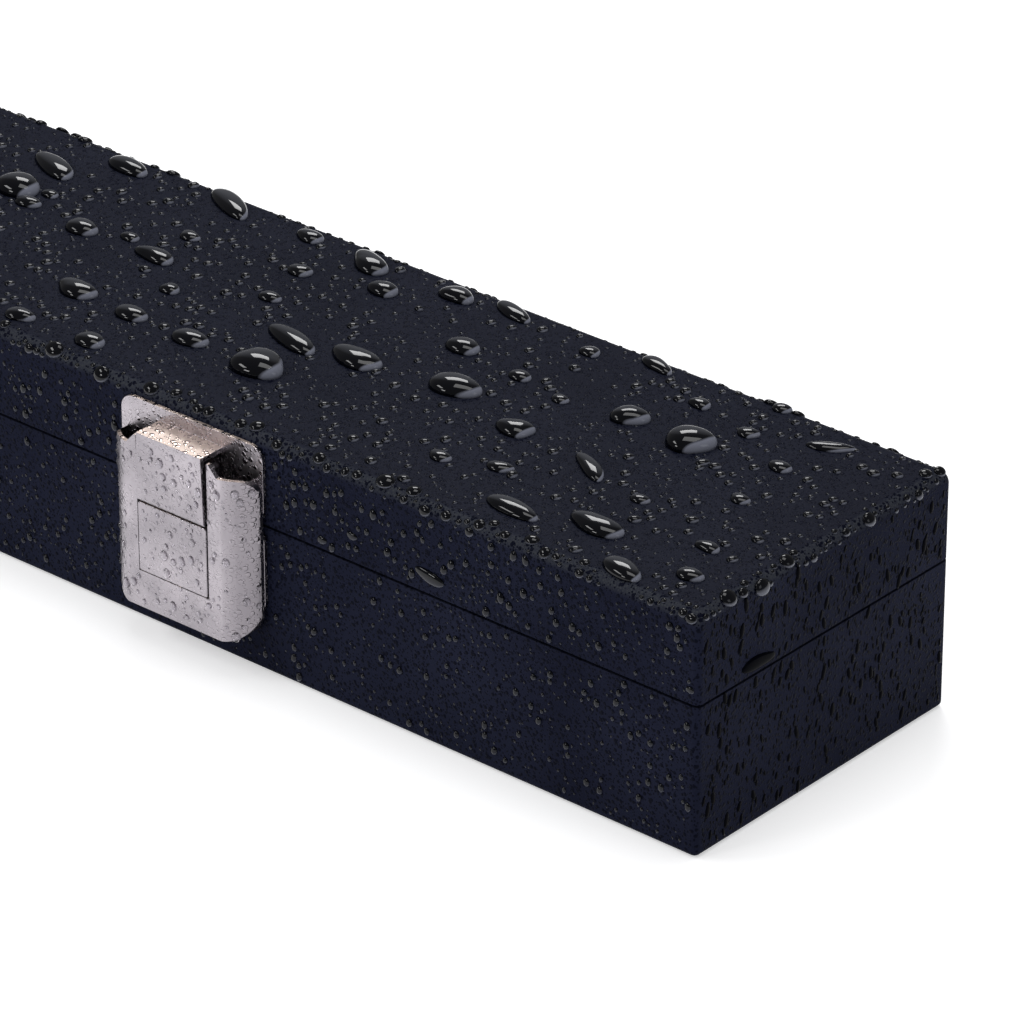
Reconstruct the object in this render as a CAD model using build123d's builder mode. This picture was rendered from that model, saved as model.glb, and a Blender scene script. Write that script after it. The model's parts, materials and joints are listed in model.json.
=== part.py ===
from build123d import *
import os

# A long rectangular hard case for a two-piece billiard cue: a wooden tray and a shallower hinged
# lid, both wrapped in leatherette, closed by two push-button snap latches on the front.
# Millimetres. X runs along the case, the latches face -Y, +Z is up.
# The origin is the middle of the flat underside.

# ---- Driving dimensions: the box
case_length = 820.0
case_width = 82.0
case_top_z = 56.0
seam_z = 35.0
seam_gap = 0.6
skin = 0.8
base_wall = 5.0
base_floor = 4.0
lid_roof = 4.0
corner_radius = 1.5
top_edge_radius = 3.0
rim_clearance = 0.6
turned_edge = 10.0

# ---- Driving dimensions: the lining
rim_thickness = 2.0
rim_rise = 3.2
foam_clearance = 0.25
foam_top_drop = 2.0
edge_rail = 3.0
divider = 4.0
butt_channel_width = 33.0
pocket_length = 49.9
floor_pad = 3.6
pocket_divider = 6.0
pad_thickness = 7.6
pad_crown = 1.2
pad_margin = 1.8
pad_edge_radius = 2.5
lid_lining_thickness = 1.0
lid_lining_gap = 0.8

# ---- Driving dimensions: the latches
latch_from_end = 136.2
plate_width = 40.4
plate_thickness = 1.0
plate_seam_gap = 0.5
base_plate_height = 20.8
hasp_plate_height = 18.0
plate_corner = 3.4
plate_notch = 1.1
plate_notch_rise = 2.4
base_rivet_spread = 13.5
base_rivet_rise = 5.0
hasp_rivet_spread = 5.2
hasp_rivet_rise = 8.6
cover_width = 40.2
cover_bottom_z = 8.2
cover_top_z = 46.7
cover_front = 7.4
cover_edge = 1.9
cover_sheet = 1.0
cover_flat_half = 13.4
cover_bulge = 1.15
cover_bottom_corner = 7.0
cover_top_corner = 3.6
cover_tab_rise = 11.0
cover_tab_height = 6.0
cover_tab_inset = 1.0
horn_height = 2.5
horn_width = 2.8
slot_half = 10.1
slot_bottom_z = 17.0
slot_play = 0.3
hasp_sheet = 1.2
hasp_front = 8.2
hasp_top_z = 50.4
hasp_top_half = 9.2
hasp_overlap = 0.8
hasp_play = 0.4
hasp_lip_depth = 3.4
hasp_bend = 0.9
button_gap = 0.5
button_proud = 0.25
button_face = 1.6
button_flange = 1.3
button_flange_thickness = 0.9
button_boss_rise = 13.0
button_boss_width = 5.0
button_boss_height = 2.4
button_corner = 0.6
button_flange_drop = 1.2
button_flange_play = 0.2
spring_foot_rise = 3.0
spring_foot_length = 2.4
spring_lip_gap = 0.6
spring_nose_height = 4.6
spring_touch = 0.1
spring_strip = 0.6
spring_width = 8.0
catch_play = 0.5
catch_reach = 1.5

# ---- Driving dimensions: the handle
handle_span = 104.0
handle_pivot_z = 30.0
handle_pivot_out = 5.8
handle_drop = 21.4
grip_length = 86.0
grip_height = 12.0
grip_thickness = 10.4
arm_width = 7.0
boss_radius = 3.9
pivot_pin_radius = 1.5
pivot_running = 0.05
pin_head = 0.7
pin_head_gap = 0.1
ear_thickness = 1.6
ear_gap = 0.3
ear_radius = 3.6
bracket_plate_thickness = 1.2
bracket_wing = 9.0
bracket_height = 11.0
bracket_drop = 2.0

# ---- Driving dimensions: hinges, feet and screws
hinge_from_end = 120.0
hinge_screw_from_end = 6.0
hinge_screw_from_edge = 4.4
hinge_length = 34.0
hinge_leaf = 12.5
hinge_leaf_thickness = 1.0
knuckle_radius = 2.1
knuckle_stand_off = 0.3
lid_knuckle_length = 11.0
knuckle_gap = 0.3
hinge_pin_radius = 1.0
rear_foot_radius = 6.0
rear_foot_height = 6.0
rear_foot_from_end = 34.0
knuckle_notch = 0.35
screw_radius = 1.1
screw_head_radius = 2.1
screw_head_height = 0.9
screw_bite = 3.6
screw_tip_gap = 0.2
screw_head_round = 0.4
pilot_clearance = 0.05
cross_length = 2.6
cross_width = 0.5
cross_depth = 0.8

# ---- Worked out from the sizes above
front_y = -case_width / 2
rear_y = case_width / 2
base_top_z = seam_z - seam_gap / 2
lid_bottom_z = seam_z + seam_gap / 2
lid_wall = base_wall - rim_clearance
wood_length = case_length - 2 * skin
wood_width = case_width - 2 * skin
base_inner_length = wood_length - 2 * base_wall
base_inner_width = wood_width - 2 * base_wall
lid_inner_length = wood_length - 2 * lid_wall
lid_inner_width = wood_width - 2 * lid_wall
base_wall_bottom_z = skin + base_floor
sheet_length = wood_length - 2 * turned_edge
sheet_width = wood_width - 2 * turned_edge
base_wall_top_z = base_top_z - skin
lid_wall_bottom_z = lid_bottom_z + skin
lid_wall_top_z = case_top_z - skin - lid_roof
rim_top_z = seam_z + rim_rise
foam_length = base_inner_length - 2 * rim_thickness - 2 * foam_clearance
foam_width = base_inner_width - 2 * rim_thickness - 2 * foam_clearance
foam_top_z = seam_z - foam_top_drop
latch_x = case_length / 2 - latch_from_end
latch_places = {"left": -latch_x, "right": latch_x}
base_plate_top_z = seam_z - plate_seam_gap
base_plate_bottom_z = base_plate_top_z - base_plate_height
hasp_plate_bottom_z = seam_z + plate_seam_gap
hasp_plate_top_z = hasp_plate_bottom_z + hasp_plate_height
hasp_bottom_z = seam_z - hasp_overlap
hasp_bottom_half = slot_half - hasp_play
button_top_z = hasp_bottom_z - button_gap
button_half = slot_half - slot_play
hinge_x = case_length / 2 - hinge_from_end
hinge_places = {"left": -hinge_x, "centre": 0.0, "right": hinge_x}
pin_y = rear_y + knuckle_stand_off + knuckle_radius
arm_places = {"left": -handle_span / 2, "right": handle_span / 2}
base_plate_screws = [(side * base_rivet_spread, base_plate_bottom_z + base_rivet_rise) for side in (-1, 1)]
hasp_screws = [(side * hasp_rivet_spread, hasp_plate_bottom_z + hasp_rivet_rise) for side in (-1, 1)]
bracket_screw_z = handle_pivot_z - bracket_drop
bracket_screw_x = arm_width / 2 + ear_gap + ear_thickness + bracket_wing / 2
hinge_screws = [
    (side * (hinge_length / 2 - hinge_screw_from_end), hinge_leaf - hinge_screw_from_edge)
    for side in (-1, 1)
]


def front_plane(x_place=0.0):
    """Sketch plane on the front face: local x along the case, local y up, extruding outwards."""
    return Plane(origin=(x_place, front_y, 0), x_dir=(1, 0, 0), z_dir=(0, -1, 0))


def rear_plane(x_place=0.0):
    """Sketch plane on the rear face: local x against the case's, local y up, extruding outwards."""
    return Plane(origin=(x_place, rear_y, 0), x_dir=(-1, 0, 0), z_dir=(0, 1, 0))


def section_plane(x_place=0.0):
    """Upright plane across the case: local x is the distance out from the front, local y is up."""
    return Plane(origin=(x_place, front_y, 0), x_dir=(0, -1, 0), z_dir=(-1, 0, 0))


def save(piece, name):
    """Labels a finished piece and writes it under its node's name."""
    piece.part.label = name
    export_step(piece.part, f"parts/{name}.step")


# ---- Every screw: a plain plate hole, a blind pilot hole in what is behind it, and the screw


def front_screw_points(body):
    """Places of the screws through the front of one half, as (x, z)."""
    points = []
    for place in latch_places.values():
        chosen = base_plate_screws if body == "base" else hasp_screws
        points += [(place + x, z) for x, z in chosen]
    if body == "base":
        for place in arm_places.values():
            points += [(place + side * bracket_screw_x, bracket_screw_z) for side in (-1, 1)]
    return points


def rear_screw_points(body):
    """Places of the hinge screws through the rear of one half, in the rear plane."""
    way = -1 if body == "base" else 1
    return [(-place + x, seam_z + way * z) for place in hinge_places.values() for x, z in hinge_screws]


def pilot_holes(body):
    """The pilot holes of one half's screws, as solids to cut away."""
    with BuildPart() as holes:
        for plane, points in ((front_plane(), front_screw_points(body)), (rear_plane(), rear_screw_points(body))):
            with BuildSketch(plane):
                with Locations(*points):
                    Circle(screw_radius + pilot_clearance)
            extrude(amount=-(screw_bite + skin))
    return holes.part


def fixings(plane, points, seat, name, driven=True):
    """A group of equal round-headed screws, or rivets when not driven, standing on a plate."""
    with BuildPart() as group:
        with BuildSketch(plane.offset(seat)):
            with Locations(*points):
                Circle(screw_head_radius)
        extrude(amount=screw_head_height)
        fillet(group.edges().filter_by(GeomType.CIRCLE).group_by(Axis.Y)[0 if plane.z_dir.Y < 0 else -1], screw_head_round)
        with BuildSketch(plane.offset(seat)):
            with Locations(*points):
                Circle(screw_radius)
        extrude(amount=-(seat + screw_bite + skin - screw_tip_gap))
        if driven:
            head = plane.offset(seat + screw_head_height)
            with Locations(*[head.location * Pos(x, z, 0) for x, z in points]):
                Box(cross_length, cross_width, cross_depth, mode=Mode.SUBTRACT)
                Box(cross_width, cross_length, cross_depth, mode=Mode.SUBTRACT)
    save(group, name)


# ---- The box: leatherette, wooden panels, lining


def covering(bottom_z, top_z, wood_bottom_z, wood_top_z, opening, mouth_up, name):
    """The leatherette round one half: outside, and turned over the edge that meets the other half."""
    with BuildPart() as cover:
        with BuildSketch(Plane.XY.offset(bottom_z)):
            Rectangle(case_length, case_width)
        extrude(amount=top_z - bottom_z)
        fillet(cover.edges().filter_by(Axis.Z), corner_radius)
        if mouth_up:
            fillet(cover.faces().sort_by(Axis.Z)[0].edges(), corner_radius * 0.8)
        else:
            fillet(cover.faces().sort_by(Axis.Z)[-1].edges(), top_edge_radius)
    with BuildPart() as wood:
        with BuildSketch(Plane.XY.offset(wood_bottom_z)):
            Rectangle(wood_length, wood_width)
        extrude(amount=wood_top_z - wood_bottom_z)
        if not mouth_up:
            fillet(wood.faces().sort_by(Axis.Z)[-1].edges(), top_edge_radius - skin)
    with BuildPart() as skin_piece:
        add(cover.part)
        add(wood.part, mode=Mode.SUBTRACT)
        mouth_z = wood_top_z if mouth_up else bottom_z
        with BuildSketch(Plane.XY.offset(mouth_z)):
            Rectangle(*opening)
        extrude(amount=skin, mode=Mode.SUBTRACT)
        if mouth_up:
            with BuildSketch(Plane.XY):
                Rectangle(sheet_length, sheet_width)
            extrude(amount=skin, mode=Mode.SUBTRACT)
        add(pilot_holes("base" if mouth_up else "lid"), mode=Mode.SUBTRACT)
    save(skin_piece, name)


def bottom_sheet():
    """The flat sheet on the underside, let in between the turned edges of the leatherette."""
    with BuildPart() as sheet:
        with BuildSketch(Plane.XY):
            Rectangle(sheet_length, sheet_width)
        extrude(amount=skin)
    save(sheet, "base_bottom_sheet")


def long_wall(body, side, wall, bottom_z, top_z, name):
    """One long wooden wall, with the pilot holes that fall in it."""
    with BuildPart() as panel:
        with BuildSketch(Plane.XY.offset(bottom_z)):
            with Locations((0, side * (wood_width - wall) / 2)):
                Rectangle(wood_length, wall)
        extrude(amount=top_z - bottom_z)
        add(pilot_holes(body), mode=Mode.SUBTRACT)
    save(panel, name)


def end_wall(side, wall, bottom_z, top_z, name):
    """One short wooden wall between the long ones."""
    with BuildPart() as panel:
        with BuildSketch(Plane.XY.offset(bottom_z)):
            with Locations((side * (wood_length - wall) / 2, 0)):
                Rectangle(wall, wood_width - 2 * wall)
        extrude(amount=top_z - bottom_z)
    save(panel, name)


def flat_panel(bottom_z, thickness, edge_radius, name):
    """The floor or the roof panel; the roof's upper edges are rounded under the leatherette."""
    with BuildPart() as panel:
        with BuildSketch(Plane.XY.offset(bottom_z)):
            Rectangle(wood_length, wood_width)
        extrude(amount=thickness)
        if edge_radius:
            fillet(panel.faces().sort_by(Axis.Z)[-1].edges(), edge_radius)
    save(panel, name)


def frame_lining(length, width, thickness, bottom_z, top_z, name):
    """A thin frame that lines the inside of the walls."""
    with BuildPart() as lining:
        with BuildSketch(Plane.XY.offset(bottom_z)):
            Rectangle(length, width)
            Rectangle(length - 2 * thickness, width - 2 * thickness, mode=Mode.SUBTRACT)
        extrude(amount=top_z - bottom_z)
    save(lining, name)


def foam_block(x_low, x_high, y_low, y_high, z_low, z_high, name):
    """One straight block of the base's padding."""
    with BuildPart() as block:
        with BuildSketch(Plane.XY.offset(z_low)):
            with Locations(((x_low + x_high) / 2, (y_low + y_high) / 2)):
                Rectangle(x_high - x_low, y_high - y_low)
        extrude(amount=z_high - z_low)
    save(block, name)


def foam_insert():
    """The base's padding: a floor pad and the rails that leave two cue channels and a chalk pocket."""
    half_x = foam_length / 2
    half_y = foam_width / 2
    rail_z = base_wall_bottom_z + floor_pad
    divider_y = -half_y + edge_rail + butt_channel_width
    divider_x = -half_x + pocket_length + pocket_divider
    inner_y = half_y - edge_rail
    foam_block(-half_x, half_x, -half_y, half_y, base_wall_bottom_z, rail_z, "base_floor_pad")
    foam_block(-half_x, half_x, -half_y, -inner_y, rail_z, foam_top_z, "base_front_rail")
    foam_block(-half_x, half_x, inner_y, half_y, rail_z, foam_top_z, "base_rear_rail")
    foam_block(divider_x, half_x, divider_y, divider_y + divider, rail_z, foam_top_z, "base_divider")
    foam_block(
        divider_x - pocket_divider, divider_x, -inner_y, inner_y, rail_z, foam_top_z, "base_pocket_divider"
    )
    shaft_width = inner_y - divider_y - divider
    print(f"channels {half_x - divider_x:.1f} long, the shaft's {shaft_width:.1f} wide")


def lid_pad():
    """The soft pad under the roof: a slab whose underside is crowned and whose sides draw in."""
    pad_length = lid_inner_length - 2 * lid_lining_thickness - 2 * pad_margin
    pad_width = lid_inner_width - 2 * lid_lining_thickness - 2 * pad_margin
    side = pad_thickness - pad_crown
    with BuildPart() as pad:
        with BuildSketch(Plane(origin=(-pad_length / 2, 0, lid_wall_top_z), x_dir=(0, 1, 0), z_dir=(1, 0, 0))):
            with BuildLine():
                Line((-pad_width / 2, 0), (pad_width / 2, 0))
                Line((pad_width / 2, 0), (pad_width / 2, -side))
                ThreePointArc((pad_width / 2, -side), (0, -pad_thickness), (-pad_width / 2, -side))
                Line((-pad_width / 2, -side), (-pad_width / 2, 0))
            make_face()
        extrude(amount=pad_length)
        fillet(pad.edges().filter_by(Axis.X).group_by(Axis.Z)[0], pad_edge_radius)
    save(pad, "lid_pad")


# ---- The latches


def base_plate(place, side_name):
    """The fixed plate of a latch, screwed to the front of the tray."""
    with BuildPart() as plate:
        with BuildSketch(front_plane(place)) as outline:
            with Locations((0, (base_plate_bottom_z + base_plate_top_z) / 2)):
                Rectangle(plate_width, base_plate_height)
            fillet(outline.vertices().group_by(Axis.Z)[0], plate_corner)
            with Locations(*base_plate_screws):
                Circle(screw_radius + pilot_clearance, mode=Mode.SUBTRACT)
        extrude(amount=plate_thickness)
    save(plate, f"latch_{side_name}_base_plate")


def cover_body(place, inset, top_z):
    """The domed block of a latch cover; drawn in by the sheet's thickness it is the hollow inside."""
    flat = cover_flat_half - inset * 0.4
    out = cover_front - inset
    edge = cover_width / 2 - inset
    low = plate_thickness
    middle_x = (flat + edge) / 2 + cover_bulge * 0.6
    middle_out = (out + cover_edge) / 2 + cover_bulge * 0.6
    height = top_z - cover_bottom_z - inset
    with BuildPart() as block:
        with BuildSketch(Plane(origin=(place, front_y, cover_bottom_z), x_dir=(1, 0, 0), z_dir=(0, 0, 1))):
            with BuildLine():
                Polyline((-edge, -cover_edge), (-edge, -low), (edge, -low), (edge, -cover_edge))
                ThreePointArc((edge, -cover_edge), (middle_x, -middle_out), (flat, -out))
                Line((flat, -out), (-flat, -out))
                ThreePointArc((-flat, -out), (-middle_x, -middle_out), (-edge, -cover_edge))
            make_face()
        extrude(amount=top_z - cover_bottom_z)
        with BuildSketch(front_plane(place)) as outline:
            with Locations((0, top_z - height / 2)):
                Rectangle(2 * edge, height)
            fillet(outline.vertices().group_by(Axis.Z)[0], cover_bottom_corner - inset)
        extrude(amount=cover_front + cover_sheet, mode=Mode.INTERSECT)
    return block.part


def latch_cover(place, side_name):
    """The stamped, domed cover with the slot in which the hasp and the button sit."""
    horn_top_z = cover_top_z + horn_height
    horn_foot_z = cover_top_z - 1.3 * cover_top_corner
    half = cover_width / 2
    with BuildPart() as cover:
        add(cover_body(place, 0, horn_top_z))
        with BuildSketch(front_plane(place)) as outside:
            with Locations((0, (cover_bottom_z + cover_top_z) / 2)):
                Rectangle(cover_width, cover_top_z - cover_bottom_z)
            fillet(outside.vertices().group_by(Axis.Z)[-1], cover_top_corner)
            for side in (-1, 1):
                with BuildLine():
                    Polyline(
                        (side * slot_half, horn_foot_z),
                        (side * slot_half, horn_top_z),
                        (side * (slot_half + 0.5), horn_top_z),
                        (side * (slot_half + horn_width), cover_top_z),
                        (side * (slot_half + horn_width), horn_foot_z),
                        close=True,
                    )
                make_face()
            with Locations((0, (slot_bottom_z + horn_top_z) / 2)):
                Rectangle(2 * slot_half, horn_top_z - slot_bottom_z, mode=Mode.SUBTRACT)
        extrude(amount=cover_front + cover_sheet, mode=Mode.INTERSECT)
        add(cover_body(place, cover_sheet, horn_top_z), mode=Mode.SUBTRACT)
        tab_x = (cover_flat_half + half) / 2 - cover_tab_inset
        tab_z = base_plate_bottom_z + cover_tab_rise
        with BuildSketch(front_plane(place).offset(plate_thickness)):
            with Locations((-tab_x, tab_z), (tab_x, tab_z)):
                Rectangle(cover_sheet, cover_tab_height)
        extrude(amount=(cover_front + cover_edge) / 2)
    save(cover, f"latch_{side_name}_cover")


def latch_hasp(place, side_name):
    """The lid's half of a latch: a plate with a hooked tongue that drops into the cover's slot."""
    front = hasp_front
    back = front - hasp_sheet
    lip = front - hasp_sheet - hasp_lip_depth
    with BuildPart() as hasp:
        with BuildSketch(section_plane(place)) as hook:
            with BuildLine():
                Polyline(
                    (0, hasp_top_z),
                    (front, hasp_top_z),
                    (front, hasp_bottom_z),
                    (lip, hasp_bottom_z),
                    (lip, hasp_bottom_z + hasp_sheet),
                    (back, hasp_bottom_z + hasp_sheet),
                    (back, hasp_top_z - hasp_sheet),
                    (0, hasp_top_z - hasp_sheet),
                    close=True,
                )
            make_face()
            fillet(hook.vertices().group_by(Axis.Z)[-1].sort_by(Axis.Y)[0], hasp_bend)
            fillet(hook.vertices().group_by(Axis.Z)[0].sort_by(Axis.Y)[0], hasp_bend * 0.6)
        extrude(amount=hasp_bottom_half, both=True)
        with BuildSketch(front_plane(place)):
            with BuildLine():
                Polyline(
                    (-hasp_bottom_half, hasp_bottom_z),
                    (hasp_bottom_half, hasp_bottom_z),
                    (hasp_top_half, hasp_top_z),
                    (-hasp_top_half, hasp_top_z),
                    close=True,
                )
            make_face()
        extrude(amount=front, mode=Mode.INTERSECT)
        with BuildSketch(front_plane(place)) as outline:
            with Locations((0, (hasp_plate_bottom_z + hasp_plate_top_z) / 2)):
                Rectangle(plate_width, hasp_plate_height)
            fillet(outline.vertices().group_by(Axis.Z)[-1], plate_corner)
            notch_z = hasp_plate_bottom_z + plate_notch_rise
            with Locations((-plate_width / 2, notch_z), (plate_width / 2, notch_z)):
                Circle(plate_notch / 2, mode=Mode.SUBTRACT)
            with Locations(*hasp_screws):
                Circle(screw_radius + pilot_clearance, mode=Mode.SUBTRACT)
        extrude(amount=plate_thickness)
    save(hasp, f"latch_{side_name}_hasp")


def latch_button(place, side_name):
    """The push button: a rectangular face in the cover's slot, held in by a wider flange."""
    face_front = cover_front + button_proud
    button_bottom_z = slot_bottom_z + slot_play
    button_height = button_top_z - button_bottom_z
    flange_front = cover_front - cover_sheet - button_flange_play
    middle_z = (button_bottom_z + button_top_z) / 2
    with BuildPart() as button:
        with BuildSketch(front_plane(place).offset(flange_front - button_flange_thickness)):
            with Locations((0, middle_z - button_flange_drop / 2)):
                Rectangle(2 * (button_half + button_flange), button_height - button_flange_drop)
        extrude(amount=button_flange_thickness)
        with BuildSketch(front_plane(place).offset(flange_front)):
            with Locations((0, middle_z)):
                RectangleRounded(2 * button_half, button_height, button_corner)
        extrude(amount=face_front - flange_front)
        fillet(button.faces().sort_by(Axis.Y)[0].edges(), 0.4 * button_corner)
        boss_z = button_bottom_z + button_boss_rise
        boss_back = spring_line(boss_z) + spring_strip / 2 + spring_touch
        with BuildSketch(front_plane(place).offset(flange_front - button_flange_thickness)):
            with Locations((0, boss_z)):
                Rectangle(button_boss_width, button_boss_height)
        extrude(amount=-(flange_front - button_flange_thickness - boss_back))
    save(button, f"latch_{side_name}_button")


def spring_line(z):
    """Distance out from the front of the catch spring's middle line at a height."""
    foot_z = base_plate_bottom_z + spring_foot_rise
    nose_z = hasp_bottom_z + hasp_sheet + catch_play
    foot_out = plate_thickness + spring_strip / 2
    share = (z - foot_z) / (nose_z - foot_z)
    return foot_out + share * (hasp_front - hasp_sheet - hasp_lip_depth - foot_out - spring_lip_gap)


def catch_spring(place, side_name):
    """The leaf spring whose nose holds the hasp's lip down until the button bends it back."""
    foot_z = base_plate_bottom_z + spring_foot_rise
    nose_z = hasp_bottom_z + hasp_sheet + catch_play
    half = spring_strip / 2
    foot_out = plate_thickness
    leaf = spring_line(nose_z)
    nose = hasp_front - hasp_sheet - hasp_lip_depth + catch_reach
    with BuildPart() as spring:
        with BuildSketch(section_plane(place)):
            with BuildLine():
                Polyline(
                    (foot_out, foot_z - spring_foot_length),
                    (foot_out + spring_strip, foot_z - spring_foot_length),
                    (foot_out + spring_strip, foot_z),
                    (leaf + half, nose_z),
                    (nose, nose_z),
                    (nose, nose_z + spring_strip),
                    (leaf + half, nose_z + spring_nose_height),
                    (leaf - half, nose_z + spring_nose_height),
                    (leaf - half, nose_z + half),
                    (foot_out, foot_z),
                    close=True,
                )
            make_face()
        extrude(amount=spring_width / 2, both=True)
    save(spring, f"latch_{side_name}_catch_spring")


# ---- The handle


def handle_bracket(place, side_name):
    """A small U bracket: a plate with two ears that hold the handle's pin."""
    ear_x = arm_width / 2 + ear_gap + ear_thickness / 2
    half_plate = arm_width / 2 + ear_gap + ear_thickness + bracket_wing
    with BuildPart() as bracket:
        with BuildSketch(front_plane(place)):
            with Locations((0, bracket_screw_z)):
                RectangleRounded(2 * half_plate, bracket_height, 2.0)
            with Locations((-bracket_screw_x, bracket_screw_z), (bracket_screw_x, bracket_screw_z)):
                Circle(screw_radius + pilot_clearance, mode=Mode.SUBTRACT)
        extrude(amount=bracket_plate_thickness)
        for side in (-1, 1):
            with BuildSketch(section_plane(place + side * ear_x)):
                with Locations((handle_pivot_out, handle_pivot_z)):
                    Circle(ear_radius)
                with Locations((handle_pivot_out / 2, handle_pivot_z)):
                    Rectangle(handle_pivot_out, 2 * ear_radius)
                with Locations((handle_pivot_out, handle_pivot_z)):
                    Circle(pivot_pin_radius + pivot_running, mode=Mode.SUBTRACT)
            extrude(amount=ear_thickness / 2, both=True)
    save(bracket, f"handle_{side_name}_bracket")


def handle_pin(place, side_name):
    """The pin through one bracket and one end of the handle, headed at both ends."""
    half = arm_width / 2 + ear_gap + ear_thickness + pin_head_gap
    with BuildPart() as pin:
        with BuildSketch(section_plane(place)):
            with Locations((handle_pivot_out, handle_pivot_z)):
                Circle(pivot_pin_radius)
        extrude(amount=half, both=True)
        for side in (-1, 1):
            with BuildSketch(section_plane(place + side * (half + pin_head / 2))):
                with Locations((handle_pivot_out, handle_pivot_z)):
                    Circle(pivot_pin_radius + pin_head)
            extrude(amount=pin_head / 2, both=True)
    save(pin, f"handle_{side_name}_pin")


def handle_grip():
    """The moulded handle: a rounded grip between two arms that turn on the bracket pins."""
    grip_z = handle_pivot_z - handle_drop
    out = handle_pivot_out
    arm_x = handle_span / 2
    with BuildPart() as grip:
        for side in (-1, 1):
            with BuildSketch(section_plane(side * arm_x)):
                with Locations((out, handle_pivot_z)):
                    Circle(boss_radius)
                with Locations((out, (handle_pivot_z + grip_z) / 2)):
                    Rectangle(2 * boss_radius * 0.85, handle_drop)
            extrude(amount=arm_width / 2, both=True)
        bar_half = arm_x + arm_width / 2
        with BuildSketch(section_plane(0)) as bar:
            with Locations((out, grip_z)):
                Rectangle(2 * boss_radius * 0.85, grip_height * 0.8)
        extrude(amount=bar_half, both=True)
        with BuildSketch(section_plane(0)) as swell:
            with Locations((out, grip_z)):
                RectangleRounded(grip_thickness, grip_height, grip_thickness * 0.36)
        extrude(amount=grip_length / 2, both=True)
        ends = grip.edges().filter_by(Axis.Y).filter_by(lambda e: abs(e.center().X) > bar_half - 0.5)
        fillet(ends.group_by(Axis.Z)[0], grip_height * 0.38)
        for side in (-1, 1):
            with BuildSketch(section_plane(side * arm_x)):
                with Locations((out, handle_pivot_z)):
                    Circle(pivot_pin_radius + pivot_running)
            extrude(amount=arm_width, both=True, mode=Mode.SUBTRACT)
    save(grip, "handle_grip")


# ---- The hinges and feet


def hinge_leaf_piece(place, body, side_name):
    """One leaf with its knuckles: two outer knuckles on the tray's leaf, one between on the lid's."""
    way = -1 if body == "base" else 1
    outer = (hinge_length - lid_knuckle_length) / 2 - knuckle_gap
    outer_knuckles = [(side * (hinge_length - outer) / 2, outer) for side in (-1, 1)]
    middle_knuckle = [(0, lid_knuckle_length)]
    knuckles, notches = (
        (outer_knuckles, middle_knuckle) if body == "base" else (middle_knuckle, outer_knuckles)
    )
    leaf_start = seam_gap
    centre_z = seam_z + way * (leaf_start + hinge_leaf) / 2
    pin_out = pin_y - rear_y
    with BuildPart() as leaf:
        with BuildSketch(rear_plane(place)) as outline:
            with Locations((0, centre_z)):
                Rectangle(hinge_length, hinge_leaf - leaf_start)
            far_edge = outline.vertices().group_by(Axis.Z)[0 if body == "base" else -1]
            fillet(far_edge, knuckle_radius)
            with Locations(*[(x, seam_z + way * z) for x, z in hinge_screws]):
                Circle(screw_radius + pilot_clearance, mode=Mode.SUBTRACT)
            for x, length in notches:
                with Locations((-x, seam_z)):
                    notch_height = 2 * (knuckle_radius + knuckle_notch)
                    Rectangle(length + 2 * knuckle_gap, notch_height, mode=Mode.SUBTRACT)
        extrude(amount=hinge_leaf_thickness)
        for x, length in knuckles:
            with BuildSketch(Plane(origin=(place + x, pin_y, seam_z), x_dir=(0, 1, 0), z_dir=(1, 0, 0))):
                Circle(knuckle_radius)
                with Locations((hinge_leaf_thickness / 2 - pin_out, way * knuckle_radius / 2)):
                    Rectangle(hinge_leaf_thickness, knuckle_radius)
            extrude(amount=length / 2, both=True)
        with BuildSketch(Plane(origin=(place, pin_y, seam_z), x_dir=(0, 1, 0), z_dir=(1, 0, 0))):
            Circle(hinge_pin_radius + pivot_running)
        extrude(amount=hinge_length, both=True, mode=Mode.SUBTRACT)
    save(leaf, f"hinge_{side_name}_{body}_leaf")


def hinge_pin(place, side_name):
    """The pin of one hinge."""
    with BuildPart() as pin:
        with BuildSketch(Plane(origin=(place, pin_y, seam_z), x_dir=(0, 1, 0), z_dir=(1, 0, 0))):
            Circle(hinge_pin_radius)
        extrude(amount=hinge_length / 2, both=True)
    save(pin, f"hinge_{side_name}_pin")


def rear_feet():
    """Four rubber feet on the hinge side, which keep the hinges off the ground."""
    foot_x = case_length / 2 - rear_foot_from_end
    with BuildPart() as feet:
        with BuildSketch(rear_plane()):
            with Locations(*[(x, base_top_z / 2) for x in (-foot_x, -foot_x / 2, foot_x / 2, foot_x)]):
                Circle(rear_foot_radius)
        extrude(amount=rear_foot_height)
        fillet(feet.edges().filter_by(GeomType.CIRCLE).group_by(Axis.Y)[-1], rear_foot_height * 0.45)
    save(feet, "rear_feet")


os.makedirs("parts", exist_ok=True)

covering(
    0,
    base_top_z,
    skin,
    base_wall_top_z,
    (base_inner_length, base_inner_width),
    True,
    "base_leatherette",
)
covering(
    lid_bottom_z,
    case_top_z,
    lid_wall_bottom_z,
    case_top_z - skin,
    (lid_inner_length, lid_inner_width),
    False,
    "lid_leatherette",
)
flat_panel(skin, base_floor, 0, "base_floor_panel")
bottom_sheet()
flat_panel(lid_wall_top_z, lid_roof, top_edge_radius - skin, "lid_roof_panel")
for body, wall, low_z, high_z in (
    ("base", base_wall, base_wall_bottom_z, base_wall_top_z),
    ("lid", lid_wall, lid_wall_bottom_z, lid_wall_top_z),
):
    long_wall(body, -1, wall, low_z, high_z, f"{body}_front_wall")
    long_wall(body, 1, wall, low_z, high_z, f"{body}_rear_wall")
    end_wall(-1, wall, low_z, high_z, f"{body}_left_end_wall")
    end_wall(1, wall, low_z, high_z, f"{body}_right_end_wall")
frame_lining(
    base_inner_length, base_inner_width, rim_thickness, base_wall_bottom_z, rim_top_z, "base_rim_lining"
)
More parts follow.
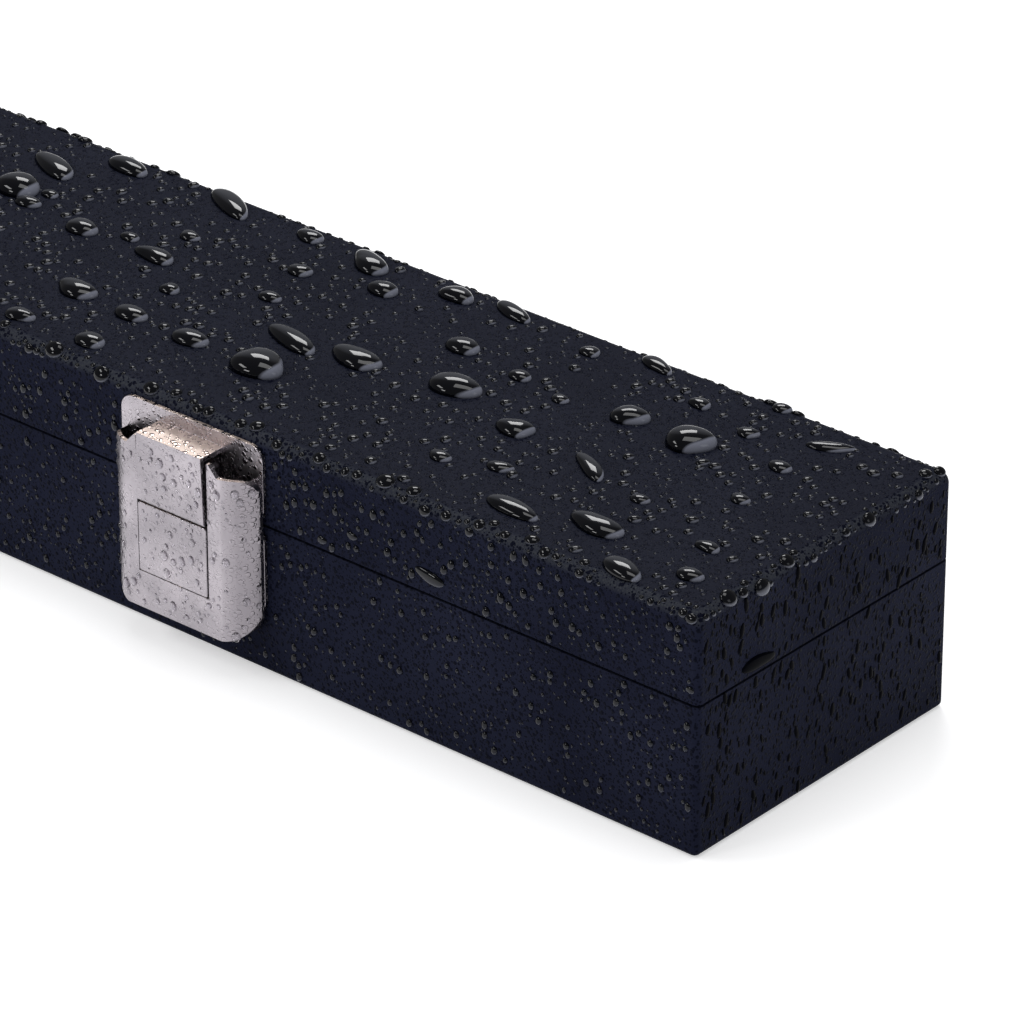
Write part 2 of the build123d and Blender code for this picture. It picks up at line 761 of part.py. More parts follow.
frame_lining(
    lid_inner_length,
    lid_inner_width,
    lid_lining_thickness,
    rim_top_z + lid_lining_gap,
    lid_wall_top_z,
    "lid_side_lining",
)
foam_insert()
lid_pad()

for side_name, place in latch_places.items():
    base_plate(place, side_name)
    latch_cover(place, side_name)
    latch_hasp(place, side_name)
    latch_button(place, side_name)
    catch_spring(place, side_name)
    fixings(front_plane(place), base_plate_screws, plate_thickness, f"latch_{side_name}_base_rivets", False)
    fixings(front_plane(place), hasp_screws, plate_thickness, f"latch_{side_name}_hasp_rivets", False)

for side_name, place in arm_places.items():
    handle_bracket(place, side_name)
    handle_pin(place, side_name)
bracket_screws = [
    (place + side * bracket_screw_x, bracket_screw_z) for place in arm_places.values() for side in (-1, 1)
]
fixings(front_plane(), bracket_screws, bracket_plate_thickness, "handle_bracket_screws")
handle_grip()

for side_name, place in hinge_places.items():
    hinge_leaf_piece(place, "base", side_name)
    hinge_leaf_piece(place, "lid", side_name)
    hinge_pin(place, side_name)
fixings(rear_plane(), rear_screw_points("base"), hinge_leaf_thickness, "hinge_base_screws")
fixings(rear_plane(), rear_screw_points("lid"), hinge_leaf_thickness, "hinge_lid_screws")
rear_feet()
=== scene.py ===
import json
import math
import random

import bmesh
import bpy
from mathutils import Matrix, Vector, noise
from mathutils.bvhtree import BVHTree


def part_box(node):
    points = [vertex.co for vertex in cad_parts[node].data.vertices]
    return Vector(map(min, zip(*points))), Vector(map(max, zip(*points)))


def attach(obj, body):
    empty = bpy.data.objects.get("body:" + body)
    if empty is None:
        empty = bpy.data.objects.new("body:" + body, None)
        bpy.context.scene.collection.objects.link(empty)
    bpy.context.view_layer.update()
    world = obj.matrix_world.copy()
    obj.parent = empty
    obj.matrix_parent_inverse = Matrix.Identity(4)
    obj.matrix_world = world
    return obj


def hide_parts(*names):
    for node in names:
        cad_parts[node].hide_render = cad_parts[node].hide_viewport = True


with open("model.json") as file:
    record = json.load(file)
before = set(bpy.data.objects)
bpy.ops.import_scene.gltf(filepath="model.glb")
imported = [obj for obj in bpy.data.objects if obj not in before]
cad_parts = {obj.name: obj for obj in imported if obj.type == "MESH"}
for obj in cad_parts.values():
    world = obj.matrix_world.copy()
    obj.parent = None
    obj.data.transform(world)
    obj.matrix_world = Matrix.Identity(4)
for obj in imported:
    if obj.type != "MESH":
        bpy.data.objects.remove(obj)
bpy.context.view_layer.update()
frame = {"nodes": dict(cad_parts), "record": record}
mm = 0.001


# Camera and the pictures' frame

cameraSettings = {
    "place": (1.1196, -0.9222, 0.6897),  # metres
    "azimuth": 40.71,  # degrees round the case from its front
    "elevation": 28.36,  # degrees above the horizon
    "lens": 231.5,
    "sensor": 36.0,
    "pixels": 1024,
}


def cameraAxes():
    a = math.radians(cameraSettings["azimuth"])
    e = math.radians(cameraSettings["elevation"])
    back = Vector((math.sin(a) * math.cos(e), -math.cos(a) * math.cos(e), math.sin(e)))
    right = Vector((math.cos(a), math.sin(a), 0))
    return right, back.cross(right), back


def makeCamera():
    right, up, back = cameraAxes()
    data = bpy.data.cameras.new("photoCamera")
    data.lens = cameraSettings["lens"]
    data.sensor_width = cameraSettings["sensor"]
    data.clip_start = 0.01
    data.clip_end = 50
    camera = bpy.data.objects.new("photoCamera", data)
    turn = Matrix((right, up, back)).transposed().to_4x4()
    camera.matrix_world = Matrix.Translation(cameraSettings["place"]) @ turn
    bpy.context.scene.collection.objects.link(camera)
    bpy.context.scene.camera = camera


def underPixel(x, y, planePoint, planeNormal):
    # The point of a plane that the photograph shows at a pixel
    right, up, back = cameraAxes()
    half = cameraSettings["pixels"] / 2
    scale = cameraSettings["sensor"] / cameraSettings["lens"] / cameraSettings["pixels"]
    ray = right * ((x - half) * scale) + up * ((half - y) * scale) - back
    start = Vector(cameraSettings["place"])
    reach = (planePoint - start).dot(planeNormal) / ray.dot(planeNormal)
    return start + ray * reach


makeCamera()
print("camera placed")


# Shader helpers


def newGroup(name, inputs, outputs):
    group = bpy.data.node_groups.new(name, "ShaderNodeTree")
    for label, kind, value in inputs:
        socket = group.interface.new_socket(label, in_out="INPUT", socket_type=kind)
        socket.default_value = value
    for label, kind in outputs:
        group.interface.new_socket(label, in_out="OUTPUT", socket_type=kind)
    return group, group.nodes.new("NodeGroupInput"), group.nodes.new("NodeGroupOutput")


def addNode(tree, kind, sockets=None, **settings):
    node = tree.nodes.new("ShaderNode" + kind)
    for name, value in settings.items():
        setattr(node, name, value)
    for name, value in (sockets or {}).items():
        node.inputs[name].default_value = value
    return node


def mathNode(tree, operation, first, second=None, clamp=False):
    node = tree.nodes.new("ShaderNodeMath")
    node.operation = operation
    node.use_clamp = clamp
    for index, value in enumerate((first, second)):
        if value is None:
            continue
        if isinstance(value, (int, float)):
            node.inputs[index].default_value = value
        else:
            tree.links.new(value, node.inputs[index])
    return node.outputs[0]


def rangeNode(tree, value, fromLow, fromHigh, toLow, toHigh):
    node = addNode(tree, "MapRange", {1: fromLow, 2: fromHigh, 3: toLow, 4: toHigh})
    tree.links.new(value, node.inputs[0])
    return node.outputs[0]


def mixColours(tree, factor, first, second):
    node = tree.nodes.new("ShaderNodeMix")
    node.data_type = "RGBA"
    tree.links.new(factor, node.inputs[0])
    for index, value in ((6, first), (7, second)):
        if isinstance(value, tuple):
            node.inputs[index].default_value = (*value, 1)
        else:
            tree.links.new(value, node.inputs[index])
    return node.outputs[2]


def makeGrainGroup():
    # Pebbled grain: rounded cells with fine creases, and a slow unevenness under them
    group, given, out = newGroup(
        "pebbleGrain",
        [("Cell Size", "NodeSocketFloat", 0.6), ("Unevenness", "NodeSocketFloat", 0.3)],
        [("Height", "NodeSocketFloat"), ("Patch", "NodeSocketFloat")],
    )
    place = addNode(group, "TexCoord").outputs["Object"]
    scale = mathNode(group, "DIVIDE", 1000.0, given.outputs["Cell Size"])
    cells = addNode(group, "TexVoronoi", feature="SMOOTH_F1")
    cells.inputs["Smoothness"].default_value = 0.35
    group.links.new(place, cells.inputs["Vector"])
    group.links.new(scale, cells.inputs["Scale"])
    creases = addNode(group, "TexVoronoi", feature="DISTANCE_TO_EDGE")
    group.links.new(place, creases.inputs["Vector"])
    group.links.new(scale, creases.inputs["Scale"])
    crease = rangeNode(group, creases.outputs["Distance"], 0.0, 0.22, 0.0, 1.0)
    fine = addNode(group, "TexNoise", {"Scale": 5200.0, "Detail": 2.0})
    group.links.new(place, fine.inputs["Vector"])
    slow = addNode(group, "TexNoise", {"Scale": 38.0, "Detail": 3.0})
    group.links.new(place, slow.inputs["Vector"])
    dome = mathNode(group, "SUBTRACT", 1.0, cells.outputs["Distance"])
    height = mathNode(group, "MULTIPLY", dome, 0.45)
    height = mathNode(group, "ADD", height, mathNode(group, "MULTIPLY", crease, 0.4))
    height = mathNode(group, "ADD", height, mathNode(group, "MULTIPLY", fine.outputs["Fac"], 0.22))
    wavy = mathNode(group, "MULTIPLY", slow.outputs["Fac"], given.outputs["Unevenness"])
    group.links.new(mathNode(group, "ADD", height, wavy), out.inputs["Height"])
    group.links.new(slow.outputs["Fac"], out.inputs["Patch"])
    return group


def makeMistGroup():
    # Fine beads of water, too small to model: rounded caps of two sizes where cells of space meet the surface
    group, given, out = newGroup(
        "waterMist",
        [("Spacing", "NodeSocketFloat", 1.5), ("Amount", "NodeSocketFloat", 0.3)],
        [("Height", "NodeSocketFloat"), ("Wet", "NodeSocketFloat")],
    )
    place = addNode(group, "TexCoord").outputs["Object"]
    caps = []
    for share in (1.0, 0.52):
        cells = addNode(group, "TexVoronoi", feature="F1")
        spacing = mathNode(group, "MULTIPLY", given.outputs["Spacing"], share)
        group.links.new(place, cells.inputs["Vector"])
        group.links.new(mathNode(group, "DIVIDE", 1000.0, spacing), cells.inputs["Scale"])
        near = mathNode(group, "DIVIDE", cells.outputs["Distance"], given.outputs["Amount"])
        inside = mathNode(group, "SUBTRACT", 1.0, mathNode(group, "MULTIPLY", near, near), clamp=True)
        cap = mathNode(group, "SQRT", inside)
        caps.append(mathNode(group, "MULTIPLY", cap, share))
    height = mathNode(group, "MAXIMUM", caps[0], caps[1])
    group.links.new(height, out.inputs["Height"])
    group.links.new(rangeNode(group, height, 0.02, 0.25, 0.0, 1.0), out.inputs["Wet"])
    return group


def makeBrushGroup():
    # Faint rub marks and blotches of plated or moulded surfaces
    group, given, out = newGroup(
        "rubMarks",
        [("Scale", "NodeSocketFloat", 60.0), ("Stretch", "NodeSocketFloat", 14.0)],
        [("Marks", "NodeSocketFloat"), ("Blotch", "NodeSocketFloat")],
    )
    place = addNode(group, "TexCoord").outputs["Object"]
    stretch = addNode(group, "Mapping")
    combine = addNode(group, "CombineXYZ", {"X": 1.0, "Y": 1.0})
    group.links.new(given.outputs["Stretch"], combine.inputs["Z"])
    group.links.new(place, stretch.inputs["Vector"])
    group.links.new(combine.outputs[0], stretch.inputs["Scale"])
    marks = addNode(group, "TexNoise", {"Detail": 4.0, "Roughness": 0.6})
    group.links.new(stretch.outputs[0], marks.inputs["Vector"])
    group.links.new(given.outputs["Scale"], marks.inputs["Scale"])
    blotch = addNode(group, "TexNoise", {"Scale": 90.0, "Detail": 3.0})
    group.links.new(place, blotch.inputs["Vector"])
    group.links.new(marks.outputs["Fac"], out.inputs["Marks"])
    group.links.new(blotch.outputs["Fac"], out.inputs["Blotch"])
    return group


grainGroup = makeGrainGroup()
mistGroup = makeMistGroup()
rubGroup = makeBrushGroup()


def newMaterial(name):
    material = bpy.data.materials.new(name)
    material.use_nodes = True
    tree = material.node_tree
    return material, tree, tree.nodes["Principled BSDF"]


def useGroup(tree, group, **values):
    node = tree.nodes.new("ShaderNodeGroup")
    node.node_tree = group
    for name, value in values.items():
        node.inputs[name.replace("_", " ")].default_value = value
    return node


def bumpInto(tree, shader, height, depth, strength=1.0, before=None):
    bump = addNode(tree, "Bump", {"Strength": strength, "Distance": depth})
    tree.links.new(height, bump.inputs["Height"])
    if before is not None:
        tree.links.new(before, bump.inputs["Normal"])
    tree.links.new(bump.outputs[0], shader.inputs["Normal"])
    return bump.outputs[0]


def facingWay(tree, way):
    # How far the surface faces one way: 1 towards it, 0 square to it, -1 away from it
    facing = addNode(tree, "VectorMath", operation="DOT_PRODUCT")
    tree.links.new(addNode(tree, "TexCoord").outputs["Normal"], facing.inputs[0])
    facing.inputs[1].default_value = Vector(way).normalized()
    return facing.outputs["Value"]


leatherSettings = {
    "low": (0.0086, 0.0101, 0.0222),
    "high": (0.0136, 0.0158, 0.0322),
    # rubbed: painted highlight colour of the rounded top edges
    "paintedEdgeHighlight": (0.034, 0.037, 0.044),
    # handled: painted reflection colour of the top faces, greyer and less blue
    "paintedTopGrey": (0.0118, 0.0128, 0.0178),
    "wetColour": (0.0034, 0.0042, 0.0105),
    "cell": 0.55,
    "unevenness": 0.25,
    "grainDepth": 0.05 * mm,
    "mistSpacing": 1.35,
    "mistAmount": 0.34,
    "mistDepth": 0.10 * mm,
    "mistRoughness": 0.3,
    "roughness": (0.46, 0.66),
    "specular": 0.018,
}


def makeLeatherette(name, wet):
    material, tree, shader = newMaterial(name)
    grain = useGroup(
        tree, grainGroup, Cell_Size=leatherSettings["cell"], Unevenness=leatherSettings["unevenness"]
    )
    colour = mixColours(
        tree,
        rangeNode(tree, grain.outputs["Patch"], 0.3, 0.7, 0.0, 1.0),
        leatherSettings["low"],
        leatherSettings["high"],
    )
    smooth, coarse = leatherSettings["roughness"]
    rough = rangeNode(tree, grain.outputs["Height"], 0.4, 1.1, coarse, smooth)
    normal = bumpInto(tree, shader, grain.outputs["Height"], leatherSettings["grainDepth"])
    # Painted highlight: the rounded top edges are painted greyer than the flats, most on the raised grain.
    # Painted reflection: the top faces are painted a little less blue
    upward = facingWay(tree, (0, 0, 1))
    paintedEdgeHighlight = mathNode(
        tree,
        "MULTIPLY",
        rangeNode(tree, upward, 0.08, 0.5, 0.0, 1.0),
        rangeNode(tree, upward, 0.9, 0.995, 1.0, 0.0),
    )
    raised = rangeNode(tree, grain.outputs["Height"], 0.3, 0.9, 0.35, 1.0)
    paintedEdgeHighlight = mathNode(tree, "MULTIPLY", paintedEdgeHighlight, raised)
    colour = mixColours(tree, paintedEdgeHighlight, colour, leatherSettings["paintedEdgeHighlight"])
    # Painted reflection: the faces that look straight up are painted greyer and less blue
    paintedTopGrey = rangeNode(tree, upward, 0.9, 0.995, 0.0, 0.55)
    colour = mixColours(tree, paintedTopGrey, colour, leatherSettings["paintedTopGrey"])
    shader.inputs["Specular IOR Level"].default_value = leatherSettings["specular"]
    if wet:
        mist = useGroup(
            tree, mistGroup, Spacing=leatherSettings["mistSpacing"], Amount=leatherSettings["mistAmount"]
        )
        colour = mixColours(tree, mist.outputs["Wet"], colour, leatherSettings["wetColour"])
        dry = mathNode(tree, "SUBTRACT", 1.0, mist.outputs["Wet"])
        wetRough = mathNode(tree, "MULTIPLY", mist.outputs["Wet"], leatherSettings["mistRoughness"])
        rough = mathNode(tree, "ADD", mathNode(tree, "MULTIPLY", rough, dry), wetRough)
        bumpInto(tree, shader, mist.outputs["Height"], leatherSettings["mistDepth"], before=normal)
    tree.links.new(colour, shader.inputs["Base Color"])
    tree.links.new(rough, shader.inputs["Roughness"])
    return material


nickelSettings = {
    "low": (0.33, 0.305, 0.33),
    "high": (0.45, 0.415, 0.445),
    # ledge: painted warm reflection on the faces that look up
    "ledge": (0.60, 0.50, 0.45),
    # flank: painted shade on the faces that turn to the right
    "flank": (0.24, 0.22, 0.24),
    "roughness": (0.26, 0.38),
    "rubDepth": 0.015 * mm,
    "mistSpacing": 1.7,
    "mistAmount": 0.36,
    "mistDepth": 0.14 * mm,
}


def makeNickel(name, wet):
    material, tree, shader = newMaterial(name)
    rub = useGroup(tree, rubGroup, Scale=420.0, Stretch=0.25)
    blotch = rangeNode(tree, rub.outputs["Blotch"], 0.35, 0.65, 0.0, 1.0)
    colour = mixColours(tree, blotch, nickelSettings["low"], nickelSettings["high"])
    # Painted reflection: warmer where it faces up. Painted shade: darker where it turns to the right
    ledge = rangeNode(tree, facingWay(tree, (0, 0, 1)), 0.8, 0.97, 0.0, 1.0)
    colour = mixColours(tree, ledge, colour, nickelSettings["ledge"])
    # Painted shade on the right-facing flank
    flank = rangeNode(tree, facingWay(tree, (1, 0, 0)), 0.1, 0.6, 0.0, 0.8)
    colour = mixColours(tree, flank, colour, nickelSettings["flank"])
    low, high = nickelSettings["roughness"]
    rough = rangeNode(tree, rub.outputs["Marks"], 0.3, 0.7, low, high)
    rough = mathNode(tree, "ADD", rough, mathNode(tree, "MULTIPLY", ledge, 0.2))
    normal = bumpInto(tree, shader, rub.outputs["Marks"], nickelSettings["rubDepth"])
    if wet:
        mist = useGroup(
            tree, mistGroup, Spacing=nickelSettings["mistSpacing"], Amount=nickelSettings["mistAmount"]
        )
        bumpInto(tree, shader, mist.outputs["Height"], nickelSettings["mistDepth"], before=normal)
        dry = mathNode(tree, "SUBTRACT", 1.0, mist.outputs["Wet"])
        wetShare = mathNode(tree, "ADD", mathNode(tree, "MULTIPLY", dry, 0.75), 0.25)
        rough = mathNode(tree, "MULTIPLY", rough, wetShare)
    shader.inputs["Metallic"].default_value = 1.0
    tree.links.new(colour, shader.inputs["Base Color"])
    tree.links.new(rough, shader.inputs["Roughness"])
    return material


def makeSteel():
    material, tree, shader = newMaterial("springSteel")
    rub = useGroup(tree, rubGroup, Scale=700.0, Stretch=0.1)
    colour = mixColours(tree, rub.outputs["Blotch"], (0.32, 0.32, 0.33), (0.52, 0.52, 0.53))
    shader.inputs["Metallic"].default_value = 1.0
    tree.links.new(colour, shader.inputs["Base Color"])
    tree.links.new(rangeNode(tree, rub.outputs["Marks"], 0.3, 0.7, 0.25, 0.45), shader.inputs["Roughness"])
    bumpInto(tree, shader, rub.outputs["Marks"], 0.01 * mm)
    return material


def makeVelvet(name, low, high):
    material, tree, shader = newMaterial(name)
    place = addNode(tree, "TexCoord").outputs["Object"]
    pile = addNode(tree, "TexNoise", {"Scale": 2600.0, "Detail": 3.0})
    brushed = addNode(tree, "TexNoise", {"Scale": 55.0, "Detail": 4.0, "Roughness": 0.6, "Distortion": 0.8})
    tree.links.new(place, pile.inputs["Vector"])
    tree.links.new(place, brushed.inputs["Vector"])
    lay = mathNode(tree, "MULTIPLY", mathNode(tree, "ADD", pile.outputs["Fac"], brushed.outputs["Fac"]), 0.5)
    colour = mixColours(tree, rangeNode(tree, lay, 0.35, 0.65, 0.0, 1.0), low, high)
    tree.links.new(colour, shader.inputs["Base Color"])
    shader.inputs["Roughness"].default_value = 0.95
    shader.inputs["Specular IOR Level"].default_value = 0.1
    shader.inputs["Sheen Weight"].default_value = 0.55
    shader.inputs["Sheen Roughness"].default_value = 0.35
    shader.inputs["Sheen Tint"].default_value = (0.55, 0.58, 0.72, 1)
    bumpInto(tree, shader, pile.outputs["Fac"], 0.25 * mm, 0.7)
    return material


def makeWood():
    material, tree, shader = newMaterial("carcassWood")
    place = addNode(tree, "TexCoord").outputs["Object"]
    along = addNode(tree, "Mapping", {"Scale": (0.06, 1.0, 1.0)})
    tree.links.new(place, along.inputs["Vector"])
    fibre = addNode(tree, "TexNoise", {"Scale": 900.0, "Detail": 5.0, "Distortion": 1.2})
    tree.links.new(along.outputs[0], fibre.inputs["Vector"])
    streak = rangeNode(tree, fibre.outputs["Fac"], 0.3, 0.7, 0.0, 1.0)
    colour = mixColours(tree, streak, (0.42, 0.27, 0.14), (0.68, 0.5, 0.31))
    tree.links.new(colour, shader.inputs["Base Color"])
    shader.inputs["Roughness"].default_value = 0.7
    bumpInto(tree, shader, fibre.outputs["Fac"], 0.05 * mm)
    return material


def makeMoulded(name, colour, roughness, cell, depth):
    material, tree, shader = newMaterial(name)
    grain = useGroup(tree, grainGroup, Cell_Size=cell, Unevenness=0.1)
    pale = tuple(min(1.0, c * 1.7 + 0.004) for c in colour)
    tree.links.new(mixColours(tree, grain.outputs["Patch"], colour, pale), shader.inputs["Base Color"])
    rough = rangeNode(tree, grain.outputs["Height"], 0.4, 1.1, roughness + 0.1, roughness - 0.06)
    tree.links.new(rough, shader.inputs["Roughness"])
    bumpInto(tree, shader, grain.outputs["Height"], depth)
    return material


# The beads' painted light and shade: shade is painted shade, body the painted lit side, glow the painted patch
# of lensed light, cap the painted grey top, capWay the way that painted grey top faces
beadPaintedLight = {
    "shade": (0.0008, 0.0010, 0.0024),
    "body": (0.008, 0.0095, 0.020),
    "glow": (0.19, 0.20, 0.25),
    "cap": (0.036, 0.038, 0.046),
    "capWay": (-0.4, 0.55, 0.73),
}


def makeBeadWater(name, lightWay, glow, start, end, shine=0.5, dark=0.0, cap=0.0):
    # Water on dark leatherette, its light and shade painted into the colour by which way each spot faces:
    # painted shade, a painted lit side, and a painted glow where it would lens the light that comes in on one
    # flank onto the other
    material, tree, shader = newMaterial(name)
    lean = facingWay(tree, lightWay)
    if cap:
        share = rangeNode(tree, facingWay(tree, beadPaintedLight["capWay"]), 0.55, 0.8, 0.0, cap)
        colour = mixColours(tree, share, beadPaintedLight["shade"], beadPaintedLight["cap"])
    else:
        share = rangeNode(tree, lean, dark - 0.15, dark + 0.3, 0.0, 1.0)
        colour = mixColours(tree, share, beadPaintedLight["shade"], beadPaintedLight["body"])
    bright = mathNode(tree, "MULTIPLY", rangeNode(tree, lean, start, end, 0.0, 1.0), glow)
    colour = mixColours(tree, bright, colour, beadPaintedLight["glow"])
    tree.links.new(colour, shader.inputs["Base Color"])
    shader.inputs["Roughness"].default_value = 0.03
    shader.inputs["Specular IOR Level"].default_value = shine
    shader.inputs["IOR"].default_value = 1.34
    return material


def makeClearWater():
    material, tree, shader = newMaterial("clearWater")
    place = addNode(tree, "TexCoord").outputs["Object"]
    cloud = addNode(tree, "TexNoise", {"Scale": 260.0, "Detail": 1.0})
    tree.links.new(place, cloud.inputs["Vector"])
    colour = mixColours(tree, cloud.outputs["Fac"], (0.86, 0.86, 0.90), (1.0, 1.0, 1.0))
    tree.links.new(colour, shader.inputs["Base Color"])
    shader.inputs["Roughness"].default_value = 0.02
    shader.inputs["IOR"].default_value = 1.333
    shader.inputs["Transmission Weight"].default_value = 1.0
    return material


wetLeather = makeLeatherette("wetLeatherette", True)
dryLeather = makeLeatherette("dryLeatherette", False)
wetNickel = makeNickel("wetNickel", True)
dryNickel = makeNickel("dryNickel", False)
springSteel = makeSteel()
velvet = makeVelvet("blackVelvet", (0.006, 0.006, 0.008), (0.022, 0.022, 0.028))
carcassWood = makeWood()
handlePlastic = makeMoulded("handlePlastic", (0.008, 0.008, 0.011), 0.5, 0.9, 0.05 * mm)
footRubber = makeMoulded("footRubber", (0.012, 0.012, 0.012), 0.75, 0.5, 0.03 * mm)
# Bead finishes with painted light and shade: lightWay, start and end place the painted glow, dark pushes more
# of a bead into painted shade (the end beads are nearly all painted shade), cap paints a grey top
largeTopWater = makeBeadWater("largeTopBeads", (1, -0.05, 0), glow=0.8, start=0.45, end=0.56, cap=1.0)
topWater = makeBeadWater("topBeads", (0.95, -0.3, 0), glow=0.6, start=0.5, end=0.72, shine=0.4, cap=0.7)
rimWet = makeBeadWater("rimBeads", (0.35, 0.1, -0.93), glow=0.5, start=0.0, end=0.35)
sideWater = makeBeadWater("sideBeads", (0.25, 0, -0.95), glow=0.3, start=0.3, end=0.6)
endWet = makeBeadWater("endBeads", (0, 0.5, -0.85), glow=0.1, start=0.6, end=0.8, shine=0.03, dark=1.0)
clearWater = makeClearWater()

slotFinish = {
    "leatherette": wetLeather,
    "underside_sheet": dryLeather,
    "carcass_wood": carcassWood,
    "lining_board": velvet,
    "velvet_padding": velvet,
    "spring_steel": springSteel,
    "nickel_plate": dryNickel,
    "handle_plastic": handlePlastic,
    "foot_rubber": footRubber,
}
nodeSlot = {row["node"]: row["material_slot"] for row in frame["record"]["subparts"]}
nodeBody = {node: body for body, nodes in frame["record"]["behaviour"]["bodies"].items() for node in nodes}

for node, obj in frame["nodes"].items():
    if obj.material_slots:
        for part in obj.material_slots:
            part.material = slotFinish[nodeSlot[node]]
    else:
        obj.data.materials.append(slotFinish[nodeSlot[node]])
print("finishes made")


# Pieces made from the CAD's own solids, with the edges that stamping and moulding leave


def finishMesh(bm, name, body, material):
    mesh = bpy.data.meshes.new(name)
    bm.to_mesh(mesh)
    bm.free()
    mesh.materials.append(material)
    for face in mesh.polygons:
        face.use_smooth = True
    obj = bpy.data.objects.new(name, mesh)
    bpy.context.scene.collection.objects.link(obj)
    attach(obj, body)
    return obj


edgeSettings = {
    "plate": 0.28 * mm,
    "cover": 0.32 * mm,
    "hasp": 0.30 * mm,
    "button": 0.16 * mm,
    "spring": 0.08 * mm,
    "bracket": 0.22 * mm,
    "pin": 0.12 * mm,
    "leaf": 0.18 * mm,
    "grip": 1.1 * mm,
    "sharp": 32,  # degrees between faces from which an edge is rounded
    "merge": 0.002 * mm,
    "flat": 1.0,  # degrees under which neighbouring faces are one
}


def refine(node, name, material, width, segments=3):
    # A merged copy of a CAD solid whose sharp edges get a small radius
    bm = bmesh.new()
    bm.from_mesh(frame["nodes"][node].data)
    bmesh.ops.remove_doubles(bm, verts=bm.verts, dist=edgeSettings["merge"])
    flat = math.radians(edgeSettings["flat"])
    bmesh.ops.dissolve_limit(
        bm, angle_limit=flat, use_dissolve_boundaries=False, verts=bm.verts, edges=bm.edges
    )
    obj = finishMesh(bm, name, nodeBody[node], material)
    bevel = obj.modifiers.new("edgeRadius", "BEVEL")
    bevel.width = width
    bevel.segments = segments
    bevel.limit_method = "ANGLE"
    bevel.angle_limit = math.radians(edgeSettings["sharp"])
    bevel.use_clamp_overlap = True
    bevel.harden_normals = False
    weight = obj.modifiers.new("flatFaces", "WEIGHTED_NORMAL")
    weight.keep_sharp = False
    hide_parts(node)


for side in ("left", "right"):
    refine(f"latch_{side}_base_plate", f"{side}LatchPlate", wetNickel, edgeSettings["plate"])
    refine(f"latch_{side}_cover", f"{side}LatchCover", wetNickel, edgeSettings["cover"])
    refine(f"latch_{side}_hasp", f"{side}LatchHasp", wetNickel, edgeSettings["hasp"])
    refine(f"latch_{side}_button", f"{side}LatchButton", wetNickel, edgeSettings["button"], 2)
    refine(f"latch_{side}_catch_spring", f"{side}CatchSpring", springSteel, edgeSettings["spring"], 2)
    refine(f"handle_{side}_bracket", f"{side}HandleBracket", dryNickel, edgeSettings["bracket"])
    refine(f"handle_{side}_pin", f"{side}HandlePin", springSteel, edgeSettings["pin"], 2)
for side in ("left", "centre", "right"):
    refine(f"hinge_{side}_base_leaf", f"{side}HingeBaseLeaf", dryNickel, edgeSettings["leaf"], 2)
    refine(f"hinge_{side}_lid_leaf", f"{side}HingeLidLeaf", dryNickel, edgeSettings["leaf"], 2)
refine("handle_grip", "handleGrip", handlePlastic, edgeSettings["grip"], 4)
print("metalwork and handle refined")


# Padding inside: crowned velvet over foam

paddingSettings = {
    "cell": 9.0 * mm,
    "inset": 0.25 * mm,
    "railRadius": 1.0 * mm,
    "ripple": 0.25 * mm,
    "grooveFromEdge": 8 * mm,
    "grooveWidth": 1.6 * mm,
    "fill": 0.85,
}


def paddedBlock(node, name, crownDown=False, crown=0.0, groove=0.0, radius=None):
    # A closed soft block inside its CAD solid: rounded edges, a gentle crown and the slight give of foam
    low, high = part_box(node)
    inset = paddingSettings["inset"]
    size = high - low - Vector((2, 2, 2)) * inset
    middle = (low + high) / 2
    bm = bmesh.new()
    bmesh.ops.create_cube(bm, size=1.0)
    bmesh.ops.scale(bm, vec=size, verts=bm.verts)
    radius = min(radius or paddingSettings["railRadius"], size.y * 0.3, size.z * 0.3)
    bmesh.ops.bevel(
        bm,
        geom=bm.edges[:],
        offset=radius,
        offset_type="OFFSET",
        segments=3,
        profile=0.5,
        affect="EDGES",
        material=-1,
    )
    for axis in range(2):
        cuts = max(2, int(size[axis] / paddingSettings["cell"]))
        for step in range(1, cuts):
            spot = -size[axis] / 2 + size[axis] * step / cuts
            if abs(spot) > size[axis] / 2 - 1.5 * radius:
                continue
            normal = Vector((0, 0, 0))
            normal[axis] = 1
            bmesh.ops.bisect_plane(
                bm, geom=bm.verts[:] + bm.edges[:] + bm.faces[:], plane_co=normal * spot, plane_no=normal
            )
    way = -1 if crownDown else 1
    for vert in bm.verts:
        u = 2 * vert.co.x / size.x
        v = 2 * vert.co.y / size.y
        if way * vert.co.z > 0:
            fall = max(abs(v) ** 4, abs(u) ** 40)
            vert.co.z -= way * crown * fall
            if groove:
                edge = min(size.y / 2 - abs(vert.co.y), size.x / 2 - abs(vert.co.x))
                across = (edge - paddingSettings["grooveFromEdge"]) / paddingSettings["grooveWidth"]
                vert.co.z -= way * groove * math.exp(-(across**2))
            wave = noise.noise(vert.co * 60)
            vert.co.z -= way * paddingSettings["ripple"] * abs(wave)
    bmesh.ops.translate(bm, vec=middle, verts=bm.verts)
    obj = finishMesh(bm, name, nodeBody[node], velvet)
    soften = obj.modifiers.new("soften", "SUBSURF")
    soften.levels = 1
    soften.render_levels = 1
    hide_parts(node)


paddedBlock("base_floor_pad", "floorPad", crown=0.3 * mm)
paddedBlock("base_front_rail", "frontRailPad")
paddedBlock("base_rear_rail", "rearRailPad")
paddedBlock("base_divider", "dividerPad")
paddedBlock("base_pocket_divider", "pocketDividerPad", radius=1.6 * mm)
paddedBlock("lid_pad", "lidPad", crownDown=True, crown=2.4 * mm, groove=1.1 * mm, radius=2.2 * mm)
print("padding made")


# Water: beads that sit on the leatherette and the latches

